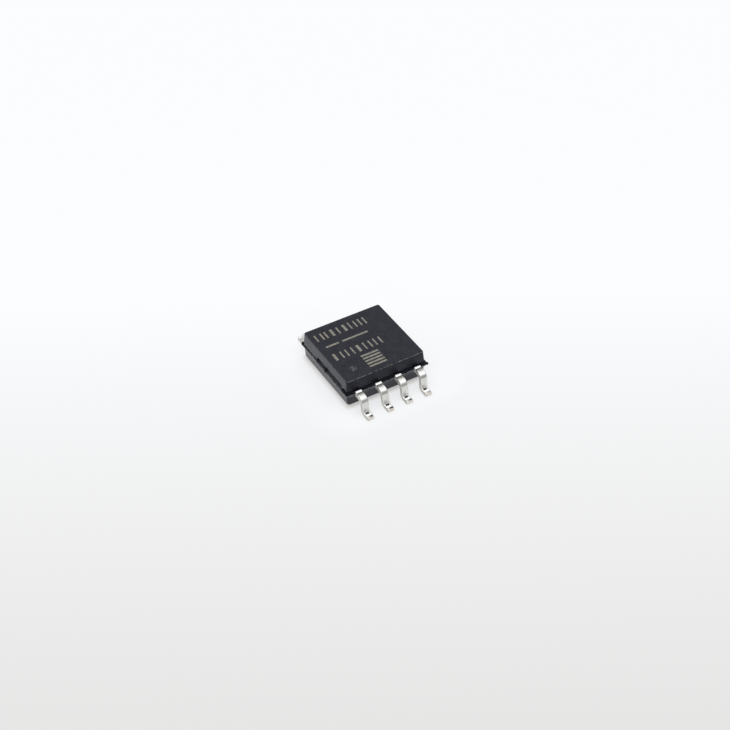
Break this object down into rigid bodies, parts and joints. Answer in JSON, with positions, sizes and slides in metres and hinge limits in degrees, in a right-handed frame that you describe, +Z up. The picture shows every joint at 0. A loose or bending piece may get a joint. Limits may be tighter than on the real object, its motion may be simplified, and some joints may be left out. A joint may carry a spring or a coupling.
{
  "type": "memory chip",
  "caption": "Surface-mount memory chip in a square black moulded body, with gull-wing leads along two sides and a wired silicon die inside.",
  "frame": {"origin": "centre of the seating plane, on which the soles of the feet lie", "axes": "+X along the lead rows, +Y across them, +Z up out of the board; pin one is at the corner towards -X and -Y"},
  "size_m": [0.0052, 0.008, 0.0018],
  "materials": {
    "compound": "fine matt, moulded",
    "lead_plate": "satin tin plate",
    "frame_copper": "satin",
    "attach_film": "matt",
    "silicon": "polished",
    "bond_gold": "bright"
  },
  "bodies": {
    "root": {"mold_body": "compound", "lead_1": "lead_plate", "lead_2": "lead_plate", "lead_3": "lead_plate", "lead_4": "lead_plate", "lead_5": "lead_plate", "lead_6": "lead_plate", "lead_7": "lead_plate", "lead_8": "lead_plate", "die_paddle": "frame_copper", "die_attach": "attach_film", "memory_die": "silicon", "bond_wire_1": "bond_gold", "bond_wire_2": "bond_gold", "bond_wire_3": "bond_gold", "bond_wire_4": "bond_gold", "bond_wire_5": "bond_gold", "bond_wire_6": "bond_gold", "bond_wire_7": "bond_gold", "bond_wire_8": "bond_gold"}
  },
  "joints": []
}
